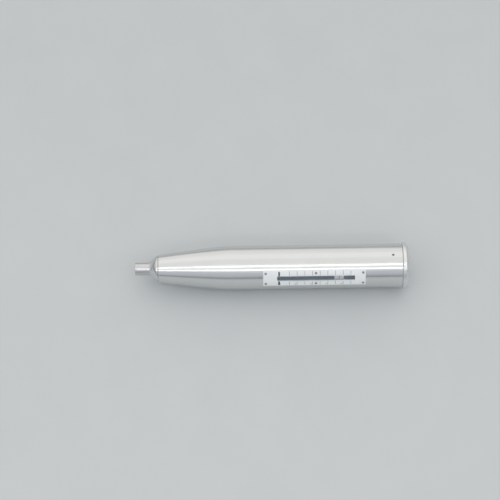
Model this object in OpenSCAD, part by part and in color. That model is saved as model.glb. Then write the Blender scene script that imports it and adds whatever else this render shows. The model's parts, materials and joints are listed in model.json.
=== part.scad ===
// Concrete test hammer: a rebound hammer lying on its side, plunger pushed in.
// The tool axis is X, the plunger points to -X, Z is up.
// The origin is on the axis, at the middle of the straight barrel.

/* [Housing] */
// Outside diameter of the straight barrel
barrel_d = 43.2; // [43:0.2:44.4]
// Length of the housing from its nose face to its rear face
housing_len = 240; // [238:1:250]
// Outside diameter of the housing at its nose face
nose_d = 27.2; // [26:0.2:29]
// Length of the curved taper behind the nose face
taper_len = 70; // [66:1:78]
// Wall thickness of the barrel and the taper
wall = 2.8; // [2.6:0.1:3]

/* [Front cap] */
// Visible length of the front cap
cap_len = 8.5; // [8:0.5:12]
// Length of the cap's threaded spigot inside the nose
cap_spigot_len = 13.8; // [12:0.2:13.8]
// Thickness of the felt washer
felt_t = 2.5; // [1.6:0.1:2.8]
// Thickness of the two-part ring that stops the plunger's collar
ring_t = 3; // [2.4:0.1:3.4]

/* [Plunger] */
// How far the pushed-in plunger stands out of the front cap
plunger_stand_out = 15; // [13:0.5:17]
// Radius of the plunger's spherical tip
tip_sphere_r = 25; // [15:1:40]

/* [Hammer mass] */
// Diameter of the hammer mass
mass_d = 28.8; // [28.4:0.1:29]

/* [Guide disk and pawl] */
// Thickness of the pawl
pawl_t = 4; // [3:0.5:4.5]
// Diameter of the pawl's pin
pawl_pin_d = 2.2; // [1.8:0.1:2.6]

/* [Rear cover] */
// Outside diameter of the rear cover's rim
cover_d = 45; // [44.6:0.2:48]
// Visible length of the rear cover's straight rim
cover_rim_len = 4.2; // [3.8:0.2:10]
// Height of the rear cover's domed end over its rim
cover_dome = 2.8; // [2:0.2:3]
// Length of the cover's threaded spigot inside the barrel
cover_spigot_len = 16; // [10:1:17]
// Thickness of the cover's end wall
cover_wall = 4; // [3:0.5:5]
// Diameter of the trip screw
trip_screw_d = 6; // [5:0.5:7]

/* [Scale] */
// Width of the scale plate across the barrel
plate_w = 17.2; // [16:0.2:18]
// Thickness of the scale plate
plate_t = 0.7; // [0.5:0.1:1.2]
// Width of the slot in the scale plate
slot_w = 5.5; // [4:0.25:6]
// Angle of the scale above the horizontal, on the -Y side
scale_elevation = 31; // [0:1:60]
// Length of the rider
rider_len = 9; // [7:0.2:10]
// Reading at which the rider stands
rider_reading = 75; // [70:1:80]
// Width of the rider
rider_w = 7; // [5:0.5:7.5]

/* [Push-button] */
// Travel of the push-button
button_travel = 2.5; // [1.5:0.1:2.8]
// Diameter of the push-button's knob
knob_d = 7.6; // [6.5:0.1:8]
// Outside diameter of the push-button's bush
bush_d = 14; // [13:0.5:16]

/* [Springs] */
// Wire diameter of the impact spring
impact_wire_d = 2; // [1.6:0.1:2.2]
// Turns of the impact spring
impact_turns = 22; // [16:1:24]
// Wire diameter of the return spring
return_wire_d = 1.6; // [1.4:0.1:1.8]
// Turns of the return spring
return_turns = 8; // [6:1:9]

/* [Hidden] */
$fn = 96;

// Common clearances and overruns
overrun = 1;
running_gap = 0.1;
seat_gap = 0.1;
slide_gap = 0.3;
edge_break = 0.5;
opposite = 180;

// Lengths that follow the housing's length: the stroke is 75 mm in a housing of 240 mm
stroke = 0.3125 * housing_len;
plunger_back = 0.34167 * housing_len;
mass_len = 0.19292 * housing_len;
disk_t = housing_len / 30;
plate_front = 0.4292 * housing_len;
plate_len = 0.4167 * housing_len;
slot_inset = 0.0567 * housing_len;
slot_len = 0.3167 * housing_len;

// Diameters that follow the nose: the plunger is 12.6 mm in a nose of 27.2 mm
cap_front_d = 0.544 * nose_d;
plunger_d = 0.463 * nose_d;
bar_d = 0.2941 * nose_d;
nose_wall = 0.074 * nose_d;
cap_spigot_wall = 0.044 * nose_d;
sleeve_wall = 0.048 * nose_d;

// Facets of a helical spring's wire: rings in each turn, and sides round the wire
spring_rings = 8;
spring_sides = 6;

// Housing stations and radii
barrel_r = barrel_d / 2;
bore_r = barrel_r - wall;
nose_r = nose_d / 2;
taper_power = 1.3;
taper_steps = 20;
origin_x = (taper_len + housing_len) / 2;

// Front cap, with the felt washer and the two-part ring behind it
cap_base_step = 0.5;
cap_base_r = nose_r - cap_base_step;
cap_front_land = 0.8;
cap_base_land = 1.2;
cap_round_power = 1.35;
cap_round_steps = 8;
cap_front_r = cap_front_d / 2;
nose_bore_r = nose_r - nose_wall;
cap_spigot_r = nose_bore_r - seat_gap;
ring_seat_r = cap_spigot_r - cap_spigot_wall;
plunger_r = plunger_d / 2;
plunger_hole_gap = 0.2;
felt_gap = 0.05;
felt_width = 1.6;
felt_seat_r = plunger_r + felt_width;
ring_back = -seat_gap;
ring_front = ring_back - ring_t;
felt_back = ring_front - 2 * seat_gap;
felt_front = felt_back - felt_t;
split_cut = 0.6;

// Guide sleeve, held behind the nose shoulder
shoulder_front = cap_spigot_len + seat_gap;
shoulder_t = 2;
shoulder_back = shoulder_front + shoulder_t;
sleeve_r = ring_seat_r - seat_gap;
sleeve_bore_r = sleeve_r - sleeve_wall;
collar_r = sleeve_bore_r - running_gap;
shoulder_hole_r = sleeve_r + seat_gap;
sleeve_flange_r = taper_r(shoulder_back) - wall - slide_gap;
sleeve_flange_front = shoulder_back + seat_gap;
sleeve_flange_t = 3.8;
sleeve_flange_back = sleeve_flange_front + sleeve_flange_t;
sleeve_back_gap = 1;

// Plunger and guide bar
plunger_tip = -cap_len - plunger_stand_out;
collar_front = ring_back + slide_gap + stroke + running_gap;
collar_chamfer = 0.6;
sleeve_back = plunger_back - sleeve_back_gap;
bar_r = bar_d / 2;
bar_socket_r = bar_r + running_gap;
bar_socket_depth = 28;
bar_end_gap = 12;
bar_front = plunger_back - bar_socket_depth + bar_end_gap;
bar_chamfer = 0.8;
buffer_wire_d = 1.2;
buffer_turns = 5;

// Hammer mass, resting on the plunger's inner end
strike_gap = 0.4;
mass_r = mass_d / 2;
mass_front = plunger_back + strike_gap;
mass_back = mass_front + mass_len;
mass_bore_r = bar_r + strike_gap;
mass_chamfer = 1.5;
latch_flange_t = 3.7;
latch_neck_len = 4.6;
latch_flange_w = 4;
latch_flange_r = bar_r + latch_flange_w;
latch_step = 2;
latch_neck_r = latch_flange_r - latch_step;
latch_lead = 1;
flange_front = mass_back - latch_flange_t;
neck_front = flange_front - latch_neck_len;

// Impact spring, from the sleeve's flange to the shoulder behind the mass's front spigot
impact_in_r = sleeve_r + slide_gap;
impact_r = (impact_in_r + impact_wire_d / 2) / cos(180 / spring_rings);
mass_spigot_len = 9;
mass_spigot_gap = 0.3;
mass_spigot_r = impact_in_r - mass_spigot_gap;
mass_shoulder = mass_front + mass_spigot_len;
impact_front = sleeve_flange_back + slide_gap;
impact_back = mass_shoulder - slide_gap;

// Guide disk, its notch for the rider and its slot for the pawl
disk_front = mass_back + stroke + slide_gap;
disk_back = disk_front + disk_t;
disk_r = bore_r - slide_gap;
notch_clear = 1;
rider_mass_gap = 0.6;
notch_floor_gap = 0.2;
notch_floor_r = mass_r + notch_floor_gap;
notch_w = rider_w + 2 * notch_clear;

// Pawl, a lever on a pin across the disk's slot
pawl_gap = 0.5;
pawl_side_y = 0;
pawl_slot_w = 8.4;
pawl_pivot_x = disk_front + disk_t / 2;
pawl_arm_gap = 0.7;
pawl_arm_h = 2.8;
pawl_pivot_z = latch_flange_r + pawl_arm_gap + pawl_arm_h / 2;
pawl_boss_r = 2.8;
pawl_nose_t = 3.2;
pawl_hook_back = disk_front - slide_gap - latch_flange_t - slide_gap;
pawl_hook_front = pawl_hook_back - pawl_nose_t;
pawl_hook_z = latch_neck_r + pawl_gap;
pawl_arm_low = latch_flange_r + pawl_arm_gap;
pawl_arm_high = pawl_arm_low + pawl_arm_h;
pawl_tail_gap = 4.3;
pawl_tail_t = 3;
pawl_tail_front = disk_back + pawl_tail_gap;
pawl_tail_back = pawl_tail_front + pawl_tail_t;
pawl_tail_low = -2;
pawl_slot_low = latch_flange_r - latch_step;
pawl_slot_room = 3;
pawl_slot_high = pawl_arm_high + pawl_slot_room;
pawl_pin_r = pawl_pin_d / 2;
pawl_pin_gap = 0.05;
pawl_pin_len = 14;
pawl_spring_wire_d = 0.7;
pawl_spring_turns = 2;
pawl_spring_y = -3.8;
pawl_spring_pitch = 1.5;

// Rear cover, trip screw and lock nut
cover_r = cover_d / 2;
cover_flat_r = 6;
cover_dome_steps = 12;
cover_dome_power = 2.6;
cover_land_share = 0.38;
cover_spigot_r = bore_r - seat_gap;
cover_spigot_wall = 2.2;
cover_cup_r = cover_spigot_r - cover_spigot_wall;
cover_rim_back = housing_len + cover_rim_len;
cover_back = cover_rim_back + cover_dome;
cover_land_back = housing_len + cover_land_share * cover_rim_len;
cover_front = housing_len - cover_spigot_len;
cover_floor = cover_back - cover_wall;
cover_boss_r = 7;
cover_boss_len = 6;
cover_boss_front = cover_floor - cover_boss_len;
trip_r = trip_screw_d / 2;
trip_front = pawl_tail_back + slide_gap;
trip_bite = 0.5;
trip_back = cover_floor + trip_bite;
trip_cone_len = 1.2;
nut_flat_share = 0.96;
nut_flat_r = trip_screw_d * nut_flat_share;
nut_t = 5;
nut_back = cover_boss_front - seat_gap;
set_screw_r = 1.25;
set_screw_inset = 9.7;
set_screw_x = housing_len - set_screw_inset;
set_screw_elevation = 91;
set_screw_sunk = 0.3;
set_socket_r = 0.75;
set_socket_depth = 1.5;

// Return spring, between the guide disk and the rear cover's end wall
nut_room = 6.1;
return_r = cover_boss_r + nut_room + return_wire_d / 2;

// Scale plate on the barrel, its window and its screws
plate_seat_gap = 0.05;
plate_in_r = barrel_r + plate_seat_gap;
plate_out_r = plate_in_r + plate_t;
slot_front = plate_front + slot_inset;
slot_corner_r = 0.7;
window_rim = 0.75;
window_ledge = 1.1;
window_floor_r = bore_r + window_ledge;
window_side_gap = 0.1;
window_lip = window_rim - window_side_gap;
window_top_sunk = 0.25;
plate_screw_inset = 2.4;
plate_mid_screw_share = 0.515;
plate_screw_across = 11.5;
plate_screw_head_r = 1.1;
plate_screw_head_t = 0.45;
plate_screw_r = 0.6;
plate_screw_len = 2.6;
plate_screw_foot_r = plate_out_r - plate_screw_len + plate_screw_head_t;
plate_screw_turn = asin(plate_screw_across / 2 / plate_out_r);
screw_slot_w = 0.3;
screw_slot_depth = 0.2;

// Rider on its guide rod, inside the bore under the slot
rider_in_r = mass_r + rider_mass_gap;
rider_top_gap = 0.6;
rider_out_r = bore_r - rider_top_gap;
rider_front = slot_front + stroke * rider_reading / 100;
rod_r = 1;
rod_bore_gap = 1.3;
rod_at_r = bore_r - rod_bore_gap - rod_r;
rod_front_share = 0.64;
rod_front = taper_len * rod_front_share;
rod_block_gap = 2;
rod_block_len = 5;
rod_block_front = disk_back + rod_block_gap;
rod_back = rod_block_front + rod_block_len;
rod_block_w = rider_w;
rod_block_out_r = bore_r - plate_seat_gap;
rod_block_in_r = max(rider_in_r, return_r + return_wire_d / 2 + slide_gap);

// Push-button opposite the scale, its stem just ahead of the guide disk
stem_r = 2;
button_x = disk_front - slide_gap - stem_r;
stem_clear = 0.7;
stem_tip_r = disk_r + stem_clear;
bush_foot_sunk = 0.3;
bush_foot_r = bore_r + bush_foot_sunk;
bush_floor_t = 1;
bush_floor_r = bush_foot_r + bush_floor_t;
bush_flange_w = 1.5;
bush_shank_r = bush_d / 2 - bush_flange_w;
bush_flange_r = bush_d / 2;
bush_seat_r = barrel_r + plate_seat_gap;
bush_pocket_wall = 0.9;
bush_pocket_r = bush_shank_r - bush_pocket_wall;
button_flange_r = bush_pocket_r - running_gap;
button_spring_turns = 3;
button_spring_wire_d = 0.6;
button_spring_solid = button_spring_turns * button_spring_wire_d + button_spring_wire_d;
button_flange_low = bush_floor_r + button_spring_solid + button_travel;
button_flange_t = 0.9;
button_flange_high = button_flange_low + button_flange_t;
bush_top_r = button_flange_high + slide_gap;
button_ring_t = 1.2;
button_ring_top_r = bush_top_r + button_ring_t;
knob_r = knob_d / 2;
knob_proud = 3.4;
knob_top_r = button_ring_top_r + knob_proud;
knob_edge = 1.2;
knob_edge_steps = 5;

// Turns a profile of [radius, x] points about the tool axis
module turned(profile) rotate([0, 90, 0]) rotate_extrude() polygon(profile);

// A round bar along the tool axis
module along_axis(r, from, to) translate([from, 0, 0]) rotate([0, 90, 0]) cylinder(r = r, h = to - from);

// A plate across the tool axis: local +Z is away from the axis, w wide, between two heights
module radial_block(from, to, w, low, high) translate([from, -w / 2, low]) cube([to - from, w, high - low]);

// A long slot with slightly rounded corners along the tool axis, cut radially
module radial_slot(from, to, w, low, high) {
    radial_block(from + slot_corner_r, to - slot_corner_r, w, low, high);
    radial_block(from, to, w - 2 * slot_corner_r, low, high);
    for (x = [from + slot_corner_r, to - slot_corner_r], y = [-1, 1] * (w / 2 - slot_corner_r))
        translate([x, y, low]) cylinder(r = slot_corner_r, h = high - low);
}

// Turns children so that their local +Z points to the given elevation, on the -Y side
module at_elevation(angle) rotate([90 - angle, 0, 0]) children();

// Puts the tool's stations, counted from the nose face, into the part's frame
module in_frame() translate([-origin_x, 0, 0]) children();

// Radius of the housing's outside at a distance behind the nose face
function taper_r(x) = barrel_r - (barrel_r - nose_r) * pow(1 - min(x, taper_len) / taper_len, taper_power);
function taper_points(from, inset) = [
    for (i = [0 : taper_steps])
        let (x = from + (taper_len - from) * i / taper_steps)
        [taper_r(x) - inset, x]];
function reversed(list) = [for (i = [len(list) - 1 : -1 : 0]) list[i]];

// Helical springs: one wire swept along X, with closed ends
function helix_centre(r, from, to, turns, i) =
    let (a = 360 * i / spring_rings, t = i / (turns * spring_rings))
    [from + (to - from) * t, r * cos(a), r * sin(a)];
function helix_ring(r, wire_r, from, to, turns, i) =
    let (a = 360 * i / spring_rings, c = helix_centre(r, from, to, turns, i))
    [for (k = [0 : spring_sides - 1]) let (b = 360 * k / spring_sides)
        c + wire_r * [sin(b), cos(b) * cos(a), cos(b) * sin(a)]];
function helix_gap(r, wire_r, from, to, turns) =
    min([for (i = [0 : (turns - 1) * spring_rings - 1], j = [-1 : 1])
        let (here = helix_centre(r, from, to, turns, i))
        norm(here - helix_centre(r, from, to, turns, i + spring_rings + j))]) - 2 * wire_r;
module helix(r, wire_d, from, to, turns, label) {
    wire_r = wire_d / 2;
    first = from + wire_r;
    last = to - wire_r;
    rings = turns * spring_rings;
    echo(str(label, " least gap between turns: ", helix_gap(r, wire_r, first, last, turns)));
    points = [for (i = [0 : rings]) each helix_ring(r, wire_r, first, last, turns, i)];
    n = spring_sides;
    sides = [for (i = [0 : rings - 1], k = [0 : n - 1])
        let (a = i * n + k, b = i * n + (k + 1) % n, c = a + n, d = b + n) each [[a, c, b], [b, c, d]]];
    start = [for (k = [1 : n - 2]) [0, k, k + 1]];
    end = [for (k = [1 : n - 2]) [rings * n, rings * n + k + 1, rings * n + k]];
    polyhedron(points, concat(sides, start, end), convexity = turns);
}

module housing() color("#d9dbdc") in_frame() difference() {
    turned(concat(
        [[nose_bore_r, 0], [nose_r - edge_break, 0], [taper_r(edge_break), edge_break]],
        taper_points(shoulder_back, 0),
        [[barrel_r, housing_len - edge_break], [barrel_r - edge_break, housing_len],
            [bore_r, housing_len]],
        reversed(taper_points(shoulder_back, wall)),
        [[shoulder_hole_r, shoulder_back], [shoulder_hole_r, shoulder_front],
            [nose_bore_r, shoulder_front]]));
    at_elevation(scale_elevation) {
        radial_slot(slot_front, slot_front + slot_len, slot_w, 0, barrel_r + overrun);
        radial_slot(slot_front - window_rim, slot_front + slot_len + window_rim, slot_w + 2 * window_rim,
            window_floor_r, barrel_r + overrun);
        translate([0, 0, rod_at_r]) along_axis(rod_r + plate_seat_gap, rod_front, rod_back);
        plate_screw_places() translate([0, 0, plate_screw_foot_r - seat_gap])
            cylinder(r = plate_screw_r + plate_seat_gap, h = plate_screw_len);
    }
    at_elevation(scale_elevation + opposite) translate([button_x, 0, 0])
        cylinder(r = bush_shank_r + plate_seat_gap, h = barrel_r + overrun);
    at_elevation(set_screw_elevation) translate([set_screw_x, 0, 0])
        cylinder(r = set_screw_r + plate_seat_gap, h = barrel_r + overrun);
}

module front_cap() color("#cfd4d6") in_frame() turned([
    [plunger_r + plunger_hole_gap, -cap_len], [cap_front_r - edge_break, -cap_len],
    [cap_front_r, -cap_len + edge_break],
    for (i = [0 : cap_round_steps])
        let (t = i / cap_round_steps)
        [cap_base_r - (cap_base_r - cap_front_r) * pow(1 - t, cap_round_power),
            (cap_front_land - cap_len) * (1 - t) - cap_base_land * t],
    [cap_base_r, -edge_break], [cap_base_r - edge_break, 0],
    [cap_spigot_r, 0], [cap_spigot_r, cap_spigot_len], [ring_seat_r, cap_spigot_len],
    [ring_seat_r, ring_front - seat_gap], [felt_seat_r, ring_front - seat_gap],
    [felt_seat_r, felt_front - seat_gap], [plunger_r + plunger_hole_gap, felt_front - seat_gap]]);

module felt_washer() color("#3c3c3a") in_frame() turned([
    [plunger_r + felt_gap, felt_front], [felt_seat_r - felt_gap, felt_front],
    [felt_seat_r - felt_gap, felt_back], [plunger_r + felt_gap, felt_back]]);

module split_ring() color("#a9acb0") in_frame() difference() {
    turned([
        [plunger_r + running_gap, ring_front], [ring_seat_r - seat_gap, ring_front],
        [ring_seat_r - seat_gap, ring_back], [plunger_r + running_gap, ring_back]]);
    translate([ring_front - overrun, -split_cut / 2, -nose_r])
        cube([ring_t + 2 * overrun, split_cut, nose_d]);
}

module guide_sleeve() color("#b9bcc0") in_frame() turned([
    [sleeve_bore_r, ring_back + 2 * seat_gap], [sleeve_r, ring_back + 2 * seat_gap],
    [sleeve_r, sleeve_flange_front],
    [sleeve_flange_r, sleeve_flange_front], [sleeve_flange_r, sleeve_flange_back],
    [sleeve_r, sleeve_flange_back], [sleeve_r, sleeve_back], [sleeve_bore_r, sleeve_back]]);

module rear_cover() color("#e3e5e6") in_frame() difference() {
    turned(concat(
        [[0, cover_boss_front], [cover_boss_r, cover_boss_front], [cover_boss_r, cover_floor],
            [cover_cup_r, cover_floor], [cover_cup_r, cover_front], [cover_spigot_r, cover_front],
            [cover_spigot_r, housing_len], [cover_r - edge_break, housing_len],
            [cover_r, housing_len + edge_break]],
        [for (i = [0 : cover_dome_steps])
            let (turn = 90 * (1 - i / cover_dome_steps))
            [cover_flat_r + (cover_r - cover_flat_r) * pow(sin(turn), 2 / cover_dome_power),
                cover_land_back + (cover_back - cover_land_back) * pow(cos(turn), 2 / cover_dome_power)]],
        [[0, cover_back]]));
    along_axis(trip_r + plate_seat_gap, cover_boss_front - overrun, trip_back + seat_gap);
}

module cover_set_screw() color("#4a4c50") in_frame() at_elevation(set_screw_elevation)
    translate([set_screw_x, 0, cover_spigot_r + seat_gap / 2]) difference() {
        cylinder(r = set_screw_r, h = barrel_r - set_screw_sunk - cover_spigot_r);
        translate([0, 0, barrel_r - set_screw_sunk - cover_spigot_r - set_socket_depth])
            cylinder(r = set_socket_r, h = set_socket_depth + overrun, $fn = 6);
    }

module trip_screw() color("#8d9196") in_frame() turned([
    [0, trip_front], [trip_r - trip_cone_len, trip_front], [trip_r, trip_front + trip_cone_len],
    [trip_r, trip_back], [0, trip_back]]);

module lock_nut() color("#8d9196") in_frame() difference() {
    translate([nut_back - nut_t, 0, 0]) rotate([0, 90, 0]) cylinder(r = nut_flat_r, h = nut_t, $fn = 6);
    along_axis(trip_r + plate_seat_gap, nut_back - nut_t - overrun, nut_back + overrun);
}

module return_spring() color("#77797c") in_frame()
    helix(return_r, return_wire_d, disk_back + seat_gap, cover_floor - seat_gap, return_turns,
        "return_spring");

module impact_spring() color("#77797c") in_frame()
    helix(impact_r, impact_wire_d, impact_front, impact_back, impact_turns, "impact_spring");

module plunger() color("#9da1a6") in_frame() difference() {
    intersection() {
        turned([
            [0, plunger_tip], [plunger_r, plunger_tip], [plunger_r, collar_front],
            [collar_r - collar_chamfer, collar_front], [collar_r, collar_front + collar_chamfer],
            [collar_r, plunger_back - collar_chamfer], [collar_r - collar_chamfer, plunger_back],
            [0, plunger_back]]);
        union() {
            translate([plunger_tip + tip_sphere_r, 0, 0]) sphere(r = tip_sphere_r);
            along_axis(nose_d, plunger_tip + tip_sphere_r / 2, plunger_back + overrun);
        }
    }
    along_axis(bar_socket_r, plunger_back - bar_socket_depth, plunger_back + overrun);
}

module buffer_spring() color("#77797c") in_frame()
    helix(bar_r - buffer_wire_d / 2, buffer_wire_d, plunger_back - bar_socket_depth + seat_gap,
        bar_front - seat_gap, buffer_turns, "buffer_spring");

module guide_bar() color("#aeb2b6") in_frame() turned([
    [0, bar_front], [bar_r - bar_chamfer, bar_front], [bar_r, bar_front + bar_chamfer],
    [bar_r, disk_back], [0, disk_back]]);

module guide_disk() color("#c2b280") in_frame() difference() {
    along_axis(disk_r, disk_front, disk_back);
    along_axis(bar_r + plate_seat_gap, disk_front - overrun, disk_back + overrun);
    at_elevation(scale_elevation)
        radial_block(disk_front - overrun, disk_back + overrun, notch_w, notch_floor_r, barrel_r);
    radial_block(disk_front - overrun, disk_back + overrun, pawl_slot_w, pawl_slot_low, pawl_slot_high);
    translate([pawl_pivot_x, pawl_pin_len / 2 + seat_gap, pawl_pivot_z]) rotate([90, 0, 0])
        cylinder(r = pawl_pin_r + pawl_pin_gap, h = pawl_pin_len + 2 * seat_gap);
}

module pawl_pin() color("#8d9196") in_frame()
    translate([pawl_pivot_x, pawl_pin_len / 2, pawl_pivot_z]) rotate([90, 0, 0])
        cylinder(r = pawl_pin_r, h = pawl_pin_len);

module pawl_spring() color("#77797c") in_frame()
    translate([pawl_pivot_x, pawl_spring_y, pawl_pivot_z]) rotate([0, 0, 90])
        helix(pawl_pin_r + pawl_spring_wire_d, pawl_spring_wire_d, 0,
            pawl_spring_pitch * pawl_spring_turns, pawl_spring_turns, "pawl_spring");

module pawl() color("#6f7378") in_frame() translate([0, pawl_side_y + pawl_t, 0]) rotate([90, 0, 0])
    linear_extrude(height = pawl_t) difference() {
        union() {
            polygon([
                [pawl_hook_front, pawl_hook_z + pawl_gap], [pawl_hook_front + pawl_gap, pawl_hook_z],
                [pawl_hook_back, pawl_hook_z], [pawl_hook_back, pawl_arm_low],
                [pawl_tail_front, pawl_arm_low], [pawl_tail_front, pawl_tail_low],
                [pawl_tail_back, pawl_tail_low], [pawl_tail_back, pawl_arm_high - pawl_gap],
                [pawl_tail_back - pawl_gap, pawl_arm_high], [pawl_hook_front, pawl_arm_high]]);
            translate([pawl_pivot_x, pawl_pivot_z]) circle(r = pawl_boss_r);
        }
        translate([pawl_pivot_x, pawl_pivot_z]) circle(r = pawl_pin_r + pawl_pin_gap);
    }

module hammer_mass() color("#8a8e93") in_frame()
    turned([
        [mass_bore_r, mass_front], [mass_spigot_r - edge_break, mass_front],
        [mass_spigot_r, mass_front + edge_break], [mass_spigot_r, mass_shoulder],
        [mass_r - mass_chamfer, mass_shoulder], [mass_r, mass_shoulder + mass_chamfer],
        [mass_r, neck_front - mass_chamfer], [mass_r - mass_chamfer, neck_front],
        [latch_neck_r, neck_front], [latch_neck_r, flange_front], [latch_flange_r, flange_front],
        [latch_flange_r, mass_back - latch_lead], [latch_flange_r - latch_lead, mass_back],
        [mass_bore_r, mass_back]]);

// Carries its children to the six screw places of the scale plate, standing on the axis
module plate_screw_places()
    for (x = [plate_screw_inset, plate_mid_screw_share * plate_len, plate_len - plate_screw_inset],
        side = [-1, 1])
        translate([plate_front + x, 0, 0]) rotate([side * plate_screw_turn, 0, 0]) children();

module scale_plate() color("#f4f5f6") in_frame() at_elevation(scale_elevation) difference() {
    intersection() {
        along_axis(plate_out_r, plate_front, plate_front + plate_len);
        radial_block(plate_front, plate_front + plate_len, plate_w, 0, barrel_d);
    }
    along_axis(plate_in_r, plate_front - overrun, plate_front + plate_len + overrun);
    radial_slot(slot_front, slot_front + slot_len, slot_w, 0, barrel_d);
    plate_screw_places() cylinder(r = plate_screw_r + plate_seat_gap, h = barrel_d);
}

module scale_screws() color("#5c6065") in_frame() at_elevation(scale_elevation)
    plate_screw_places() difference() {
        union() {
            translate([0, 0, plate_screw_foot_r]) cylinder(r = plate_screw_r, h = plate_screw_len);
            translate([0, 0, plate_out_r + plate_seat_gap])
                cylinder(r = plate_screw_head_r, h = plate_screw_head_t);
        }
        translate([0, 0, plate_out_r + plate_screw_head_t - screw_slot_depth])
            translate([-plate_screw_head_r, -screw_slot_w / 2, 0])
                cube([2 * plate_screw_head_r, screw_slot_w, overrun]);
    }

module scale_window() color("#cfe3ea", 0.4) in_frame() at_elevation(scale_elevation) intersection() {
    along_axis(barrel_r - window_top_sunk, slot_front - window_rim, slot_front + slot_len + window_rim);
    radial_slot(slot_front - window_lip, slot_front + slot_len + window_lip, slot_w + 2 * window_lip,
        window_floor_r + plate_seat_gap, barrel_r);
}

module rider() color("#eceef0") in_frame() at_elevation(scale_elevation) difference() {
    intersection() {
        along_axis(rider_out_r, rider_front, rider_front + rider_len);
        radial_block(rider_front, rider_front + rider_len, rider_w, rider_in_r, barrel_r);
    }
    translate([0, 0, rod_at_r]) along_axis(rod_r + running_gap, rider_front - overrun,
        rider_front + rider_len + overrun);
}

module rider_rod() color("#aeb2b6") in_frame() at_elevation(scale_elevation)
    translate([0, 0, rod_at_r]) along_axis(rod_r, rod_front, rod_back);

module rod_block() color("#9a9da1") in_frame() at_elevation(scale_elevation) difference() {
    intersection() {
        along_axis(rod_block_out_r, rod_block_front, rod_back);
        radial_block(rod_block_front, rod_back, rod_block_w, rod_block_in_r, barrel_r);
    }
    translate([0, 0, rod_at_r])
        along_axis(rod_r + plate_seat_gap, rod_block_front - overrun, rod_back + overrun);
}

// Puts children on the push-button's own axis, local +Z outwards
module on_button() in_frame() at_elevation(scale_elevation + opposite)
    translate([button_x, 0, 0]) children();

module button_bush() color("#b4b8bc") on_button() difference() {
    union() {
        translate([0, 0, bush_foot_r]) cylinder(r = bush_shank_r, h = bush_top_r - bush_foot_r);
        translate([0, 0, bush_seat_r]) cylinder(r = bush_flange_r, h = bush_top_r - bush_seat_r);
    }
    translate([0, 0, bush_floor_r]) cylinder(r = bush_pocket_r, h = bush_top_r);
    cylinder(r = stem_r + running_gap, h = bush_top_r);
}

module button_ring() color("#c6cacd") on_button() translate([0, 0, bush_top_r]) rotate_extrude() polygon([
    [knob_r + running_gap, 0], [bush_flange_r, 0], [bush_flange_r, button_ring_t - edge_break],
    [bush_flange_r - edge_break, button_ring_t], [knob_r + running_gap, button_ring_t]]);

module button_spring() color("#77797c") on_button() rotate([0, -90, 0])
    helix(stem_r + slide_gap + button_spring_wire_d / 2, button_spring_wire_d, bush_floor_r + seat_gap,
        button_flange_low - seat_gap, button_spring_turns, "button_spring");

module push_button() color("#35373a") on_button() rotate_extrude() polygon(concat(
    [[0, stem_tip_r], [stem_r - edge_break, stem_tip_r], [stem_r, stem_tip_r + edge_break],
        [stem_r, button_flange_low], [button_flange_r, button_flange_low],
        [button_flange_r, button_flange_high], [knob_r, button_flange_high]],
    [for (i = [0 : knob_edge_steps])
        let (a = 90 * i / knob_edge_steps)
        [knob_r - knob_edge * (1 - cos(a)), knob_top_r - knob_edge * (1 - sin(a))]],
    [[0, knob_top_r]]));

housing();
front_cap();
felt_washer();
split_ring();
guide_sleeve();
rear_cover();
cover_set_screw();
trip_screw();
lock_nut();
return_spring();
impact_spring();
plunger();
buffer_spring();
guide_bar();
guide_disk();
pawl_pin();
pawl_spring();
pawl();
hammer_mass();
scale_plate();
scale_screws();
scale_window();
rider();
rider_rod();
rod_block();
button_bush();
button_ring();
button_spring();
push_button();
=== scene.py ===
# %% [markdown]
# # A rebound hammer for testing concrete
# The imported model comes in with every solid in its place, in metres, with the tool axis along X.
# This lesson adds what CAD leaves out: the satin of turned aluminium, the printed scale, the
# rider's index line and the round wire of the springs. Each code cell prints what it made.

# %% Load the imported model
import json
import math

import bmesh
import bpy
from mathutils import Matrix, Vector

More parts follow.
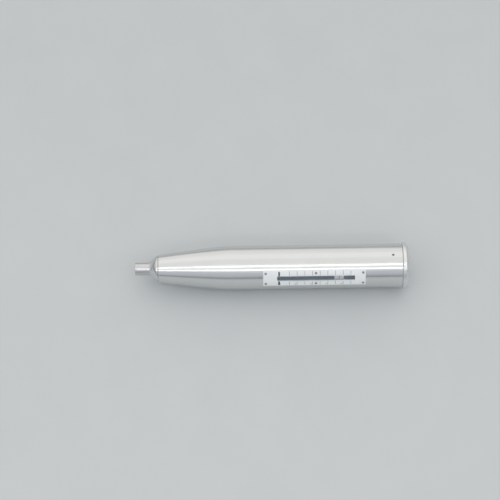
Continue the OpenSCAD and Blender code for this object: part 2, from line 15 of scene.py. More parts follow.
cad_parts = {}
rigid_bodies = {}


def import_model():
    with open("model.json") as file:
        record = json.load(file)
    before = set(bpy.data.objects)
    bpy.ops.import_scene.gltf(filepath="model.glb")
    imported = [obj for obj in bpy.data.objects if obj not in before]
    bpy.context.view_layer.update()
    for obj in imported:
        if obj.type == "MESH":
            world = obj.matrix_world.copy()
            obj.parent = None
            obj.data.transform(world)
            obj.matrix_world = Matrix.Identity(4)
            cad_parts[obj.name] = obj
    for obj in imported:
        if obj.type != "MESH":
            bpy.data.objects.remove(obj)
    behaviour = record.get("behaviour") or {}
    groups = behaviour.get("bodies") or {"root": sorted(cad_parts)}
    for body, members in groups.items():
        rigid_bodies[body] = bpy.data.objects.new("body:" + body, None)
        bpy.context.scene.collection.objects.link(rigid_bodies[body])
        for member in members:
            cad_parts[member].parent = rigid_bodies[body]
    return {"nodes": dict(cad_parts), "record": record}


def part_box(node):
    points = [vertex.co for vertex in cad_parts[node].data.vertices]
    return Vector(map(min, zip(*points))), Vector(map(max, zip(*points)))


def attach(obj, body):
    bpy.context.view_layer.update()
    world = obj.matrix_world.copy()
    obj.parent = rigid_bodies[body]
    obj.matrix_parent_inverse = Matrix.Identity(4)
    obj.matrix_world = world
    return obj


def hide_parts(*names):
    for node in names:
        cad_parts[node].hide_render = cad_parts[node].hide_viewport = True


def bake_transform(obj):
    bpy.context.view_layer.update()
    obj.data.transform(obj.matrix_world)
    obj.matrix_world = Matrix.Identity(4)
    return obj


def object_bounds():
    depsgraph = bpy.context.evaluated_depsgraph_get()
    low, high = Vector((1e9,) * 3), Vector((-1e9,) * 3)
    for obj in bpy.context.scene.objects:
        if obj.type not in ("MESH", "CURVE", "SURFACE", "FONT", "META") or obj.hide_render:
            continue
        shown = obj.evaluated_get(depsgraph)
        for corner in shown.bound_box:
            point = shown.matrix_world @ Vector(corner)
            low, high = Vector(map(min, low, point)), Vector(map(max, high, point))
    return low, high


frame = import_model()
cad_low, cad_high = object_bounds()
scene = bpy.context.scene
scene.view_settings.view_transform = "Standard"

# %% [markdown]
# The tool's own stations are measured on its solids. All lengths along the tool are counted from
# the front edge of the housing, and the scale looks 31 degrees above the horizon, towards -Y.

# %% Stations
MM_PER_METRE = 1000.0
MM = 1 / MM_PER_METRE
SCALE_ELEVATION = math.radians(31)


def reach_of(name):
    """Largest distance of a solid from the tool axis."""
    vertices = frame["nodes"][name].data.vertices
    return max(math.hypot(vertex.co.y, vertex.co.z) for vertex in vertices)


housing_low, housing_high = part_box("housing")
nose_x = housing_low.x
rear_x = housing_high.x
print("housing from", round(nose_x, 4), "to", round(rear_x, 4))
print("housing radius", round(reach_of("housing"), 5))

# %% [markdown]
# ## The camera
# The rings of the nose look straight in the picture, and the rear rim bulges only a little, so it
# was taken from some way off with a long lens. The camera stands 1.75 m off, 62 degrees above the
# floor, and is rolled a little, because the tool's axis rises to the right.

# %% Camera
IMAGE_PIXELS = 500
METRES_PER_PIXEL = 0.987 * MM
CAMERA_DISTANCE = 1.75
CAMERA_ELEVATION = math.radians(62)
CAMERA_ROLL = math.radians(0.85)
NOSE_PIXEL = (158.6, 268.8)
SENSOR_MM = 36
VIEW_DEPTH = 50

camera_right = Vector((1, 0, 0))
camera_up = Vector((0, math.sin(CAMERA_ELEVATION), math.cos(CAMERA_ELEVATION)))
camera_back = camera_right.cross(camera_up)
rolled_right = camera_right * math.cos(CAMERA_ROLL) - camera_up * math.sin(CAMERA_ROLL)
rolled_up = camera_right * math.sin(CAMERA_ROLL) + camera_up * math.cos(CAMERA_ROLL)
pixels_right = NOSE_PIXEL[0] - IMAGE_PIXELS / 2
pixels_down = NOSE_PIXEL[1] - IMAGE_PIXELS / 2
nose_from_centre = (rolled_right * pixels_right - rolled_up * pixels_down) * METRES_PER_PIXEL
look_at = Vector((nose_x, 0, 0)) - nose_from_centre

camera_data = bpy.data.cameras.new("portrait_camera")
camera_data.sensor_width = SENSOR_MM
camera_data.lens = SENSOR_MM * CAMERA_DISTANCE / (IMAGE_PIXELS * METRES_PER_PIXEL)
camera_data.clip_end = VIEW_DEPTH
camera = bpy.data.objects.new("portrait_camera", camera_data)
scene.collection.objects.link(camera)
turn = Matrix((rolled_right, rolled_up, camera_back)).transposed().to_4x4()
camera.matrix_world = Matrix.Translation(look_at + camera_back * CAMERA_DISTANCE) @ turn
scene.camera = camera
print("camera looks at", [round(v, 4) for v in look_at])
print("lens of", round(camera_data.lens), "mm")

# %% [markdown]
# ## Shader maths that reads like maths
# A material is a graph, and wiring it node by node hides the idea. `Wire` wraps one output socket
# and gives it the usual operators, also with a number on the left. `Graph` holds one shader tree;
# its `node` method makes every other node from a type, its settings and the values of its sockets.

# %% Wires and graphs
class Wire:
    def __init__(self, graph, socket):
        self.graph = graph
        self.socket = socket

    def maths(self, operation, first, second):
        return self.graph.node("ShaderNodeMath", {"operation": operation}, {0: first, 1: second})

    def __add__(self, other):
        return self.maths("ADD", self, other)

    def __radd__(self, other):
        return self.maths("ADD", other, self)

    def __sub__(self, other):
        return self.maths("SUBTRACT", self, other)

    def __rsub__(self, other):
        return self.maths("SUBTRACT", other, self)

    def __mul__(self, other):
        return self.maths("MULTIPLY", self, other)

    def __rmul__(self, other):
        return self.maths("MULTIPLY", other, self)


class Graph:
    def __init__(self, tree):
        self.tree = tree

    def put(self, node, sockets):
        for key, value in sockets.items():
            socket = node.inputs[key]
            if isinstance(value, Wire):
                self.tree.links.new(value.socket, socket)
            else:
                socket.default_value = value

    def node(self, kind, settings=None, sockets=None, output=0):
        made = self.tree.nodes.new(kind)
        for key, value in (settings or {}).items():
            if key == "stops":
                ramp = made.color_ramp.elements
                while len(ramp) < len(value):
                    ramp.new(0.5)
                for element, (position, colour) in zip(ramp, value):
                    element.position = position
                    element.color = (*colour, 1.0)
            else:
                setattr(made, key, value)
        self.put(made, sockets or {})
        return Wire(self, made.outputs[output])


print("ready to wire graphs")

# %% [markdown]
# A finish is the graph of one material. It reads the piece's own coordinates in millimetres, so a
# noise scale of 1 has marks of about a millimetre. `blend` runs between two colours, `bump` turns
# a height into a normal, and `surface` puts the results into the shader.

# %% Finishes
class Finish(Graph):
    def __init__(self, name):
        self.material = bpy.data.materials.new(name)
        self.material.use_nodes = True
        super().__init__(self.material.node_tree)
        at = self.node("ShaderNodeTexCoord", output="Object")
        self.x, self.y, self.z = [
            self.node("ShaderNodeSeparateXYZ", {}, {0: at}, axis) * MM_PER_METRE for axis in "XYZ"
        ]

    def point(self, x, y, z):
        return self.node("ShaderNodeCombineXYZ", {}, {0: x, 1: y, 2: z})

    def noise(self, scale, detail, stretch_x=1.0):
        at = self.point(self.x * stretch_x, self.y, self.z)
        return self.node("ShaderNodeTexNoise", {}, {"Vector": at, "Scale": scale, "Detail": detail})

    def rings(self, along, scale, detail):
        sockets = {"W": along, "Scale": scale, "Detail": detail}
        return self.node("ShaderNodeTexNoise", {"noise_dimensions": "1D"}, sockets)

    def blend(self, amount, low, high):
        stops = [(0.0, low), (1.0, high)]
        return self.node("ShaderNodeValToRGB", {"stops": stops}, {0: amount}, "Color")

    def bump(self, height, strength, distance):
        sockets = {"Height": height, "Strength": strength, "Distance": distance}
        return self.node("ShaderNodeBump", {}, sockets, "Normal")

    def surface(self, **sockets):
        named = {key.replace("_", " "): value for key, value in sockets.items()}
        self.put(self.tree.nodes["Principled BSDF"], named)
        return self.material


finishes = {}
print("ready to make finishes")

# %% [markdown]
# ## Metals
# The barrel, cap and cover are turned on a lathe. The tool leaves rings round the axis: they
# follow X on a barrel and the distance from the axis on an end face, so the texture reads the sum
# of the two. Handling adds faint smudges, which change the roughness more than the colour. One
# function serves all turned metals, with other colours and sharper or softer shine.

# %% Turned metals
def turned_metal(name, dark, light, roughness, groove=0.02 * MM, strength=0.05, smudge=0.06):
    finish = Finish(name)
    from_axis = finish.point(0.0, finish.y, finish.z)
    radius = finish.node("ShaderNodeVectorMath", {"operation": "LENGTH"}, {0: from_axis}, "Value")
    along = finish.x + radius
    fine = finish.rings(along, scale=9.0, detail=3.0)
    bands = finish.rings(along, scale=0.8, detail=2.0)
    marks = finish.noise(scale=0.06, detail=4.0)
    scratches = finish.noise(scale=0.9, detail=2.0, stretch_x=0.12)
    handled = (marks - 0.5) * smudge + (scratches - 0.5) * (smudge * 0.5)
    turned = (fine - 0.5) * (smudge * 0.4) + (bands - 0.5) * (smudge * 0.8)
    return finish.surface(
        Base_Color=finish.blend(marks * 0.5 + fine * 0.2 + bands * 0.3, dark, light),
        Metallic=1.0,
        Roughness=roughness + handled + turned,
        Normal=finish.bump(fine * 0.3 + bands, strength, distance=groove),
    )


finishes["housing_aluminium"] = turned_metal(
    "satin_turned_aluminium", (0.70, 0.71, 0.715), (0.77, 0.775, 0.77), roughness=0.19
)
finishes["cover_aluminium"] = turned_metal(
    "cover_aluminium_finish", (0.70, 0.70, 0.705), (0.94, 0.94, 0.93), roughness=0.3,
    groove=0.1 * MM, strength=1.0, smudge=0.14,
)
finishes["cap_steel"] = turned_metal(
    "polished_cap_steel", (0.66, 0.66, 0.66), (0.78, 0.775, 0.765), roughness=0.15
)
finishes["plunger_steel"] = turned_metal(
    "ground_plunger_steel", (0.58, 0.58, 0.59), (0.70, 0.695, 0.69), roughness=0.2
)
finishes["mechanism_steel"] = turned_metal(
    "mechanism_steel_finish", (0.50, 0.50, 0.51), (0.62, 0.62, 0.62), roughness=0.28
)
finishes["button_steel"] = turned_metal(
    "bright_button_steel", (0.64, 0.64, 0.65), (0.74, 0.74, 0.73), roughness=0.16
)
finishes["disk_brass"] = turned_metal(
    "turned_brass", (0.66, 0.46, 0.20), (0.80, 0.60, 0.30), roughness=0.24
)
print("turned metals:", ", ".join(finishes))

# %% [markdown]
# Not everything is turned. Spring wire is drawn, so its streaks run along the wire and a small
# noise is enough. Screws are blued steel, gone grey on worn spots. Felt is rough and fuzzy, so its
# bump is deep and its sheen stands for the loose fibres.

# %% Drawn wire, blued screws and felt
def drawn_steel(name, dark, light, roughness, scale):
    finish = Finish(name)
    grain = finish.noise(scale, detail=3.0)
    return finish.surface(
        Base_Color=finish.blend(grain, dark, light),
        Metallic=1.0,
        Roughness=roughness + (grain - 0.5) * 0.15,
        Normal=finish.bump(grain, strength=0.1, distance=0.02 * MM),
    )


def pressed_felt(name, dark, light):
    finish = Finish(name)
    fibres = finish.noise(scale=3.0, detail=6.0)
    return finish.surface(
        Base_Color=finish.blend(fibres, dark, light),
        Roughness=0.95,
        Sheen_Weight=0.3,
        Normal=finish.bump(fibres, strength=0.8, distance=0.3 * MM),
    )


finishes["spring_steel"] = drawn_steel(
    "drawn_spring_wire", (0.34, 0.34, 0.35), (0.52, 0.52, 0.52), roughness=0.3, scale=4.0
)
finishes["dark_steel"] = drawn_steel(
    "blued_steel", (0.26, 0.263, 0.275), (0.40, 0.40, 0.41), roughness=0.35, scale=2.0
)
finishes["felt"] = pressed_felt("grey_felt", (0.16, 0.16, 0.15), (0.34, 0.33, 0.31))
print("drawn wire, blued screws and felt")

# %% [markdown]
# The window is a thin strip of cast plastic. Glass with refraction would keep the lamps' light
# from the rider under it, so a low alpha makes it a faint blue veil instead, and light passes both
# ways. The scale plate is white enamel on metal, and the rider is painted. Such a coat is smooth
# but never dead flat, so a broad noise moves its colour and gloss a little. The ink is a thin dark
# film on it.

# %% Window, enamel and ink
def clear_plastic(name):
    finish = Finish(name)
    haze = finish.noise(scale=0.4, detail=3.0)
    return finish.surface(
        Base_Color=finish.blend(haze, (0.62, 0.77, 0.90), (0.70, 0.84, 0.96)),
        Roughness=0.04 + haze * 0.04,
        Alpha=0.11 + haze * 0.05,
        IOR=1.49,
    )


def enamel(name, low, high):
    finish = Finish(name)
    broad = finish.noise(scale=0.12, detail=3.0)
    fine = finish.noise(scale=1.6, detail=2.0)
    return finish.surface(
        Base_Color=finish.blend(broad * 0.6 + fine * 0.4, low, high),
        Roughness=0.34 + (broad - 0.5) * 0.2,
        Normal=finish.bump(fine, strength=0.06, distance=0.03 * MM),
    )


def printed_ink(name, thin, full):
    finish = Finish(name)
    cover = finish.noise(scale=2.5, detail=3.0)
    return finish.surface(
        Base_Color=finish.blend(cover, thin, full),
        Roughness=0.45 + (cover - 0.5) * 0.2,
    )


finishes["window_clear"] = clear_plastic("clear_window")
finishes["scale_white"] = enamel("white_enamel", (0.84, 0.86, 0.875), (0.92, 0.94, 0.95))
finishes["rider_metal"] = enamel("painted_rider", (0.96, 0.84, 0.84), (1.0, 0.91, 0.90))
grey_ink = printed_ink("grey_ink", (0.24, 0.25, 0.27), (0.14, 0.145, 0.16))
black_ink = printed_ink("black_ink", (0.05, 0.05, 0.055), (0.02, 0.02, 0.022))
print("window, two enamels and two inks")

# %% [markdown]
# Each solid takes the finish of its material slot in the record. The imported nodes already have
# their place and shape, so only their material changes.

# %% Dress the solids
for part in frame["record"]["subparts"]:
    materials = frame["nodes"][part["node"]].data.materials
    materials.clear()
    materials.append(finishes[part["material_slot"]])

# %% [markdown]
# ## Growing pieces from node trees
# What repeats or follows a rule is grown by Geometry Nodes. `Tree` makes one tree with named
# inputs, ends it in real geometry with a material, and `make` grows a plain mesh from it for given
# sizes.

# %% Trees
class Tree:
    def __init__(self, name, inputs):
        self.group = bpy.data.node_groups.new(name, "GeometryNodeTree")
        sockets = self.group.interface
        self.ids = {}
        for label, kind in inputs.items():
            socket = sockets.new_socket(name=label, in_out="INPUT", socket_type="NodeSocket" + kind)
            self.ids[label] = socket.identifier
        sockets.new_socket(name="Geometry", in_out="OUTPUT", socket_type="NodeSocketGeometry")
        self.given = self.group.nodes.new("NodeGroupInput").outputs
        self.result = self.group.nodes.new("NodeGroupOutput").inputs

    def node(self, kind, settings=None, sockets=None, output=0):
        made = self.group.nodes.new(kind)
        for key, value in (settings or {}).items():
            setattr(made, key, value)
        for key, value in (sockets or {}).items():
            for one in value if isinstance(value, list) else [value]:
                if isinstance(one, bpy.types.NodeSocket):
                    self.group.links.new(one, made.inputs[key])
                else:
                    made.inputs[key].default_value = one
        return made.outputs[output]

    def maths(self, operation, first, second=0.0):
        return self.node("ShaderNodeMath", {"operation": operation}, {0: first, 1: second})

    def triple(self, x, y, z):
        return self.node("ShaderNodeCombineXYZ", {}, {0: x, 1: y, 2: z})

    def close(self, geometry):
        real = self.node("GeometryNodeRealizeInstances", {}, {0: geometry})
        sockets = {0: real, "Material": self.given["Material"]}
        dressed = self.node("GeometryNodeSetMaterial", {}, sockets)
        self.group.links.new(dressed, self.result[0])
        print(self.group.name, "takes", len(self.ids), "inputs")

    def make(self, name, values):
        holder = bpy.data.objects.new(name, bpy.data.meshes.new(name))
        scene.collection.objects.link(holder)
        modifier = holder.modifiers.new("grow", "NODES")
        modifier.node_group = self.group
        for label, value in values.items():
            modifier[self.ids[label]] = value
        grown = holder.evaluated_get(bpy.context.evaluated_depsgraph_get())
        mesh = bpy.data.meshes.new_from_object(grown)
        holder.modifiers.clear()
        holder.data = mesh
        mesh.name = name
        return holder


print("ready to grow pieces")

# %% [markdown]
# ## Printing on a round surface
# The scale is printed flat and then bent round the barrel with its plate. The node tree below
# works the same way: boxes for the marks are set along a line on both sides of the slot, and one
# Set Position bends everything round the axis. Sizes are named inputs, so the long lines, the
# short ticks and the bold zero bar come from one tree.

# %% Node tree for the scale marks
MARK_POINTS = 8

mark_tree = Tree("scale_marks", {
    "Count": "Int", "First": "Float", "Step": "Float", "Width": "Float", "Near": "Float",
    "Length": "Float", "Film": "Float", "Radius": "Float", "Elevation": "Float",
    "Material": "Material",
})
given = mark_tree.given
mark_size = mark_tree.triple(given["Width"], given["Length"], given["Film"])
mark_box = mark_tree.node("GeometryNodeMeshCube", {}, {
    "Size": mark_size, "Vertices X": 2, "Vertices Y": MARK_POINTS, "Vertices Z": 2,
})
half_length = mark_tree.maths("MULTIPLY", given["Length"], 0.5)
middle = mark_tree.maths("ADD", given["Near"], half_length)
step = mark_tree.triple(given["Step"], 0.0, 0.0)
rows = []
for side in (1.0, -1.0):
    start = mark_tree.triple(given["First"], mark_tree.maths("MULTIPLY", middle, side), 0.0)
    line = mark_tree.node("GeometryNodeMeshLine", {}, {
        "Count": given["Count"], "Start Location": start, "Offset": step,
    })
    sockets = {"Points": line, "Instance": mark_box}
    rows.append(mark_tree.node("GeometryNodeInstanceOnPoints", {}, sockets))
flat = mark_tree.node("GeometryNodeJoinGeometry", {}, {0: rows})
flat = mark_tree.node("GeometryNodeRealizeInstances", {}, {0: flat})
print("flat marks in", len(rows), "rows")

# %% [markdown]
# Bending is the same for every point: its place across the print becomes an angle round the axis,
# and its height is added to the radius.

# %% Bend the marks round the axis
place = mark_tree.node("GeometryNodeInputPosition")
flat_x, flat_y, flat_z = [
    mark_tree.node("ShaderNodeSeparateXYZ", {}, {0: place}, axis) for axis in "XYZ"
]
swing = mark_tree.maths("DIVIDE", flat_y, given["Radius"])
angle = mark_tree.maths("ADD", given["Elevation"], swing)
reach = mark_tree.maths("ADD", given["Radius"], flat_z)
forward = mark_tree.maths("MULTIPLY", reach, -1.0)
round_y = mark_tree.maths("MULTIPLY", forward, mark_tree.maths("COSINE", angle))
round_z = mark_tree.maths("MULTIPLY", reach, mark_tree.maths("SINE", angle))
bent_place = mark_tree.triple(flat_x, round_y, round_z)
bent = mark_tree.node("GeometryNodeSetPosition", {}, {0: flat, "Position": bent_place})
mark_tree.close(bent)

# %% [markdown]
# Ten units of the scale are 7.5 mm of hammer travel. Long lines cross the white from the slot to
# the edge at each ten, short ticks beside the slot stand at each two, and a bold bar near the
# slot's front end marks zero.

# %% Scale lines
ZERO_X = nose_x + 121.1 * MM
UNIT = 0.75 * MM
SLOT_HALF = 2.75 * MM
PLATE_HALF = 8.6 * MM
FILM = 0.06 * MM
LINE_GAP = SLOT_HALF + 0.35 * MM
BAR_GAP = SLOT_HALF + 0.2 * MM
BAR_X = ZERO_X - 2.6 * MM
plate_top_r = reach_of("scale_plate")


def print_marks(name, ink, count, first, step, width, near, length):
    marks = mark_tree.make(name, {
        "Count": count, "First": first, "Step": step, "Width": width, "Near": near,
        "Length": length, "Film": FILM, "Radius": plate_top_r, "Elevation": SCALE_ELEVATION,
        "Material": ink,
    })
    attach(marks, "housing_assembly")
    print(name, len(marks.data.polygons), "faces")


print_marks("ten_lines", grey_ink, count=9, first=ZERO_X + 10 * UNIT, step=10 * UNIT,
            width=0.34 * MM, near=LINE_GAP, length=4.8 * MM)
print_marks("two_ticks", grey_ink, count=41, first=ZERO_X + 10 * UNIT, step=2 * UNIT,
            width=0.12 * MM, near=LINE_GAP, length=1.1 * MM)
print_marks("zero_bar", black_ink, count=1, first=BAR_X, step=UNIT,
            width=1.5 * MM, near=BAR_GAP, length=4.5 * MM)

# %% [markdown]
# Small numerals name every second ten. Text is a flat curve, so each one becomes a mesh first;
# then every vertex is bent round the axis with the same rule as the lines. They stand in front of
# their lines, because the plate's middle screw takes the room behind 40.

# %% Numerals
NUMERAL_HEIGHT = 2.0 * MM
NUMERAL_GAP = 0.5 * MM
NUMERAL_FOOT = -PLATE_HALF + 1.1 * MM
MERGE_DISTANCE = 1e-7


def bend_round(x, across, height, radius):
    at_angle = SCALE_ELEVATION + across / radius
    reach_out = radius + height
    return Vector((x, -reach_out * math.cos(at_angle), reach_out * math.sin(at_angle)))


numerals = bmesh.new()
for ten in range(20, 100, 20):
    curve = bpy.data.curves.new("numeral", "FONT")
    curve.body = str(ten)
    curve.size = NUMERAL_HEIGHT
    curve.extrude = FILM / 2
    curve.align_x = "RIGHT"
    writer = bpy.data.objects.new("numeral", curve)
    scene.collection.objects.link(writer)
    flat_text = writer.evaluated_get(bpy.context.evaluated_depsgraph_get())
    written = bpy.data.meshes.new_from_object(flat_text)
    for vertex in written.vertices:
        along = ZERO_X + ten * UNIT - NUMERAL_GAP + vertex.co.x
        vertex.co = bend_round(along, NUMERAL_FOOT + vertex.co.y, vertex.co.z, plate_top_r)
    numerals.from_mesh(written)
    bpy.data.objects.remove(writer)
    bpy.data.curves.remove(curve)
    bpy.data.meshes.remove(written)
bmesh.ops.remove_doubles(numerals, verts=numerals.verts, dist=MERGE_DISTANCE)
print("numerals of", len(numerals.verts), "vertices")

# %% [markdown]
# A mark made in bmesh is finished in the same way each time: its faces are turned outwards, it
# gets its ink, and it rides on the body that carries it.

# %% Ink a mark
def ink_piece(name, shape, ink, body):
    bmesh.ops.recalc_face_normals(shape, faces=shape.faces)
    mesh = bpy.data.meshes.new(name)
    shape.to_mesh(mesh)
    shape.free()
    mesh.materials.append(ink)
    piece = bpy.data.objects.new(name, mesh)
    scene.collection.objects.link(piece)
    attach(piece, body)
    print(name, "has", len(mesh.polygons), "faces and rides on", body)


ink_piece("scale_numerals", numerals, grey_ink, "housing_assembly")

# %% [markdown]
# Two more marks are single ones: the foot of the zero bar, which is bolder than its upper half,
# and the fine dark line across the rider, against which the rebound is read. Each is a thin box
# with enough cuts across it to bend round the axis.

# %% Zero foot and the rider's index line
CUTS = 8
SECTION = [(-0.5, -0.5), (0.5, -0.5), (0.5, 0.5), (-0.5, 0.5)]
FOOT_LIFT = 0.02 * MM
INDEX_HALF = 2.4 * MM


def bent_mark(name, x, width, low, high, radius, ink, body):
    mark = bmesh.new()
    rows = []
    for cut in range(CUTS + 1):
        across = low + (high - low) * cut / CUTS
        places = [bend_round(x + a * width, across, b * FILM, radius) for a, b in SECTION]
        rows.append([mark.verts.new(place) for place in places])
    for first, second in zip(rows, rows[1:]):
        for k in range(len(SECTION)):
            after = (k + 1) % len(SECTION)
            mark.faces.new((first[k], first[after], second[after], second[k]))
    mark.faces.new(rows[0])
    mark.faces.new(rows[-1])
    ink_piece(name, mark, ink, body)


bent_mark("zero_foot", x=BAR_X, width=2.1 * MM, low=-PLATE_HALF + 0.9 * MM,
          high=-PLATE_HALF + 3.6 * MM, radius=plate_top_r + FOOT_LIFT,
          ink=black_ink, body="housing_assembly")

rider_low, rider_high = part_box("rider")
rider_middle = (rider_low.x + rider_high.x) / 2
bent_mark("rider_index", x=rider_middle, width=0.7 * MM, low=-INDEX_HALF, high=INDEX_HALF,
          radius=reach_of("rider"), ink=black_ink, body="pointer")

# %% [markdown]
# ## Springs
# Five springs drive the tool: the big one that throws the mass, the return spring behind the guide
# disk, the buffer in the plunger, the twist spring of the pawl and the small one under the button.
# Each is round wire swept along a helix, so a Spiral curve with a Curve to Mesh makes them all. A
# spring's end coils lie flat on their seats, which the short closing rings at both ends show.

# %% Node tree for a coil spring
RING_POINTS = 48
WIRE_POINTS = 10
POINTS_PER_TURN = 36

coil_tree = Tree("coil_spring", {
    "Turns": "Float", "Mean Radius": "Float", "Wire Radius": "Float", "Length": "Float",
    "Steps": "Int", "Start": "Vector", "Turn": "Rotation", "Material": "Material",
})
given = coil_tree.given
helix = coil_tree.node("GeometryNodeCurveSpiral", {}, {
    "Resolution": given["Steps"], "Rotations": given["Turns"], "Height": given["Length"],
    "Start Radius": given["Mean Radius"], "End Radius": given["Mean Radius"],
})
end_ring = coil_tree.node("GeometryNodeCurvePrimitiveCircle", {"mode": "RADIUS"}, {
    "Resolution": RING_POINTS, "Radius": given["Mean Radius"],
})
far_end = coil_tree.triple(0.0, 0.0, given["Length"])
far_ring = coil_tree.node("GeometryNodeTransform", {}, {0: end_ring, "Translation": far_end})
wire = coil_tree.node("GeometryNodeCurvePrimitiveCircle", {"mode": "RADIUS"}, {
    "Resolution": WIRE_POINTS, "Radius": given["Wire Radius"],
})
paths = coil_tree.node("GeometryNodeJoinGeometry", {}, {0: [helix, end_ring, far_ring]})
swept = coil_tree.node("GeometryNodeCurveToMesh", {}, {
    0: paths, "Profile Curve": wire, "Fill Caps": True,
})
smooth = coil_tree.node("GeometryNodeSetShadeSmooth", {}, {0: swept, "Shade Smooth": True})
stood = coil_tree.node("GeometryNodeTransform", {}, {
    0: smooth, "Translation": given["Start"], "Rotation": given["Turn"],
})
coil_tree.close(stood)

# %% [markdown]
# Each spring stands for its solid, from one seat to the other. Three of them sit between two
# bodies that move apart. The other two travel whole with the striker.

# %% Springs on the tool axis
def coil(name, seats, turns, mean_radius, wire_radius):
    start, end = seats
    run = end - start
    spring = coil_tree.make(name + "_wire", {
        "Turns": turns, "Mean Radius": mean_radius, "Wire Radius": wire_radius,
        "Length": run.length, "Steps": POINTS_PER_TURN, "Start": start,
        "Turn": Vector((0, 0, 1)).rotation_difference(run).to_euler(),
        "Material": finishes["spring_steel"],
    })
    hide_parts(name)
    print(name, "has", len(spring.data.polygons), "faces")
    return spring


def on_axis(from_nose):
    return Vector((nose_x + from_nose, 0, 0))


impact_seats = (on_axis(21.1 * MM), on_axis(90.1 * MM))
impact = coil("impact_spring", impact_seats, turns=22, mean_radius=12.2 * MM, wire_radius=1.0 * MM)
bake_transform(impact)

return_seats = (on_axis(213.0 * MM), on_axis(242.0 * MM))
recoil = coil("return_spring", return_seats, turns=8, mean_radius=13.9 * MM, wire_radius=0.8 * MM)
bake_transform(recoil)

buffer_seats = (on_axis(54.7 * MM), on_axis(65.3 * MM))
buffer = coil("buffer_spring", buffer_seats, turns=5, mean_radius=3.4 * MM, wire_radius=0.6 * MM)
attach(buffer, "striker")

# %% [markdown]
# The last two are not on the tool axis. The pawl's spring is wound round its pin, across the tool,
# and the button's spring points out of the back of the barrel, away from the scale.

# %% Springs of the pawl and the button
pawl_axis = on_axis(208 * MM) + Vector((0, 0, 10.1 * MM))
twist_seats = (pawl_axis - Vector((0, 3.45 * MM, 0)), pawl_axis - Vector((0, 1.15 * MM, 0)))
twist = coil("pawl_spring", twist_seats, turns=2, mean_radius=1.8 * MM, wire_radius=0.35 * MM)
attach(twist, "striker")

button_out = Vector((0, math.cos(SCALE_ELEVATION), -math.sin(SCALE_ELEVATION)))
button_foot = on_axis(201.7 * MM)
button_seats = (button_foot + button_out * 20.5 * MM, button_foot + button_out * 24.6 * MM)
button_coil = coil("button_spring", button_seats,
                   turns=3, mean_radius=2.6 * MM, wire_radius=0.3 * MM)
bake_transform(button_coil)

# %% [markdown]
# ## Floor and light
# The tool lies on a plain pale floor. It is one large square with a faint mottle, so that it looks
# like paint and not like an empty picture.

# %% Floor
FLOOR_HALF = 4.0
floor_z = cad_low.z

floor_mesh = bpy.data.meshes.new("floor")
floor_corners = [
    (x * FLOOR_HALF, y * FLOOR_HALF, floor_z) for x, y in ((-1, -1), (1, -1), (1, 1), (-1, 1))
]
floor_mesh.from_pydata(floor_corners, [], [(0, 1, 2, 3)])
floor = bpy.data.objects.new("floor", floor_mesh)
scene.collection.objects.link(floor)
floor_paint = Finish("floor_paint")
mottle = floor_paint.noise(scale=0.02, detail=3.0)
floor_mesh.materials.append(floor_paint.surface(
    Base_Color=floor_paint.blend(mottle, (0.545, 0.575, 0.59), (0.585, 0.61, 0.62)),
    Roughness=0.85,
))
print("floor at", round(floor_z, 4))

# %% [markdown]
# Bright metal shows its surroundings more than its own colour, so the world is a soft dome, bright
# overhead and at the back and cooler in front. It is darker just over the horizon all round, which
# gives the metal its dark band from any side.

# %% World
BRIGHT_SIDE = (0.0, 0.45, 0.9)
DOME_STOPS = [
    (0.0, (0.58, 0.61, 0.645)),
    (0.25, (0.66, 0.68, 0.70)),
    (0.6, (0.91, 0.905, 0.89)),
    (0.9, (0.97, 0.96, 0.94)),
]
HORIZON = {"From Max": 0.32, "To Min": 0.42, "To Max": 0.98}

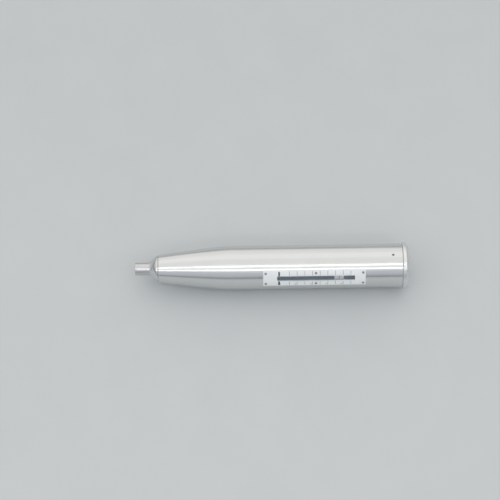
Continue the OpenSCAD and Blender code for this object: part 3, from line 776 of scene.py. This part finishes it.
world = bpy.data.worlds.new("soft_dome")
scene.world = world
world.use_nodes = True
sky = Graph(world.node_tree)
direction = sky.node("ShaderNodeTexCoord", output="Generated")
lean = sky.node(
    "ShaderNodeVectorMath", {"operation": "DOT_PRODUCT"}, {0: direction, 1: BRIGHT_SIDE}, "Value"
)
dome = sky.node("ShaderNodeValToRGB", {"stops": DOME_STOPS}, {0: lean}, "Color")
height = sky.node("ShaderNodeSeparateXYZ", {}, {0: direction}, "Z")
fade = sky.node(
    "ShaderNodeMapRange", {"interpolation_type": "SMOOTHSTEP"},
    {"Value": height, **HORIZON}, "Result",
)
sky.put(sky.tree.nodes["Background"], {"Color": dome, "Strength": fade})
print("dome with", len(DOME_STOPS), "stops")

# %% [markdown]
# Two long narrow lamps in front give the thin highlights that run the length of the barrel. A soft
# box behind lifts the upper half, and a panel at each end lights the rounded cap and cover. All
# lamps are weak, because the metal mirrors them on top of the dome.

# %% Lamps
def area_lamp(name, azimuth, elevation, distance, size, power, colour=(1, 1, 1)):
    lamp = bpy.data.lights.new(name, "AREA")
    lamp.shape = "RECTANGLE"
    lamp.size, lamp.size_y = size
    lamp.energy = power
    lamp.color = colour
    holder = bpy.data.objects.new(name, lamp)
    scene.collection.objects.link(holder)
    turned = math.radians(azimuth)
    raised = math.radians(elevation)
    side = Vector((math.cos(turned), math.sin(turned), 0))
    level = Vector((math.sin(turned), -math.cos(turned), 0))
    towards = level * math.cos(raised) + Vector((0, 0, math.sin(raised)))
    facing = Matrix((side, towards.cross(side), towards)).transposed()
    holder.location = Vector(((nose_x + rear_x) / 2, 0, 0)) + towards * distance
    holder.rotation_mode = "QUATERNION"
    holder.rotation_quaternion = facing.to_quaternion()
    print(name, "at", azimuth, "and", elevation, "degrees")


STRIP = (1.6, 0.13)
PANEL = (0.5, 0.8)
area_lamp("upper_strip", 0, 68, distance=1.4, size=STRIP, power=1.1)
area_lamp("lower_strip", 0, 49, distance=1.4, size=STRIP, power=1.1)
area_lamp("back_softbox", 0, 122, distance=1.7, size=(1.8, 0.9), power=0.5, colour=(1, 0.99, 0.97))
area_lamp("nose_panel", -62, 36, distance=1.6, size=PANEL, power=1.0)
area_lamp("rear_panel", 68, 30, distance=1.6, size=PANEL, power=1.0)
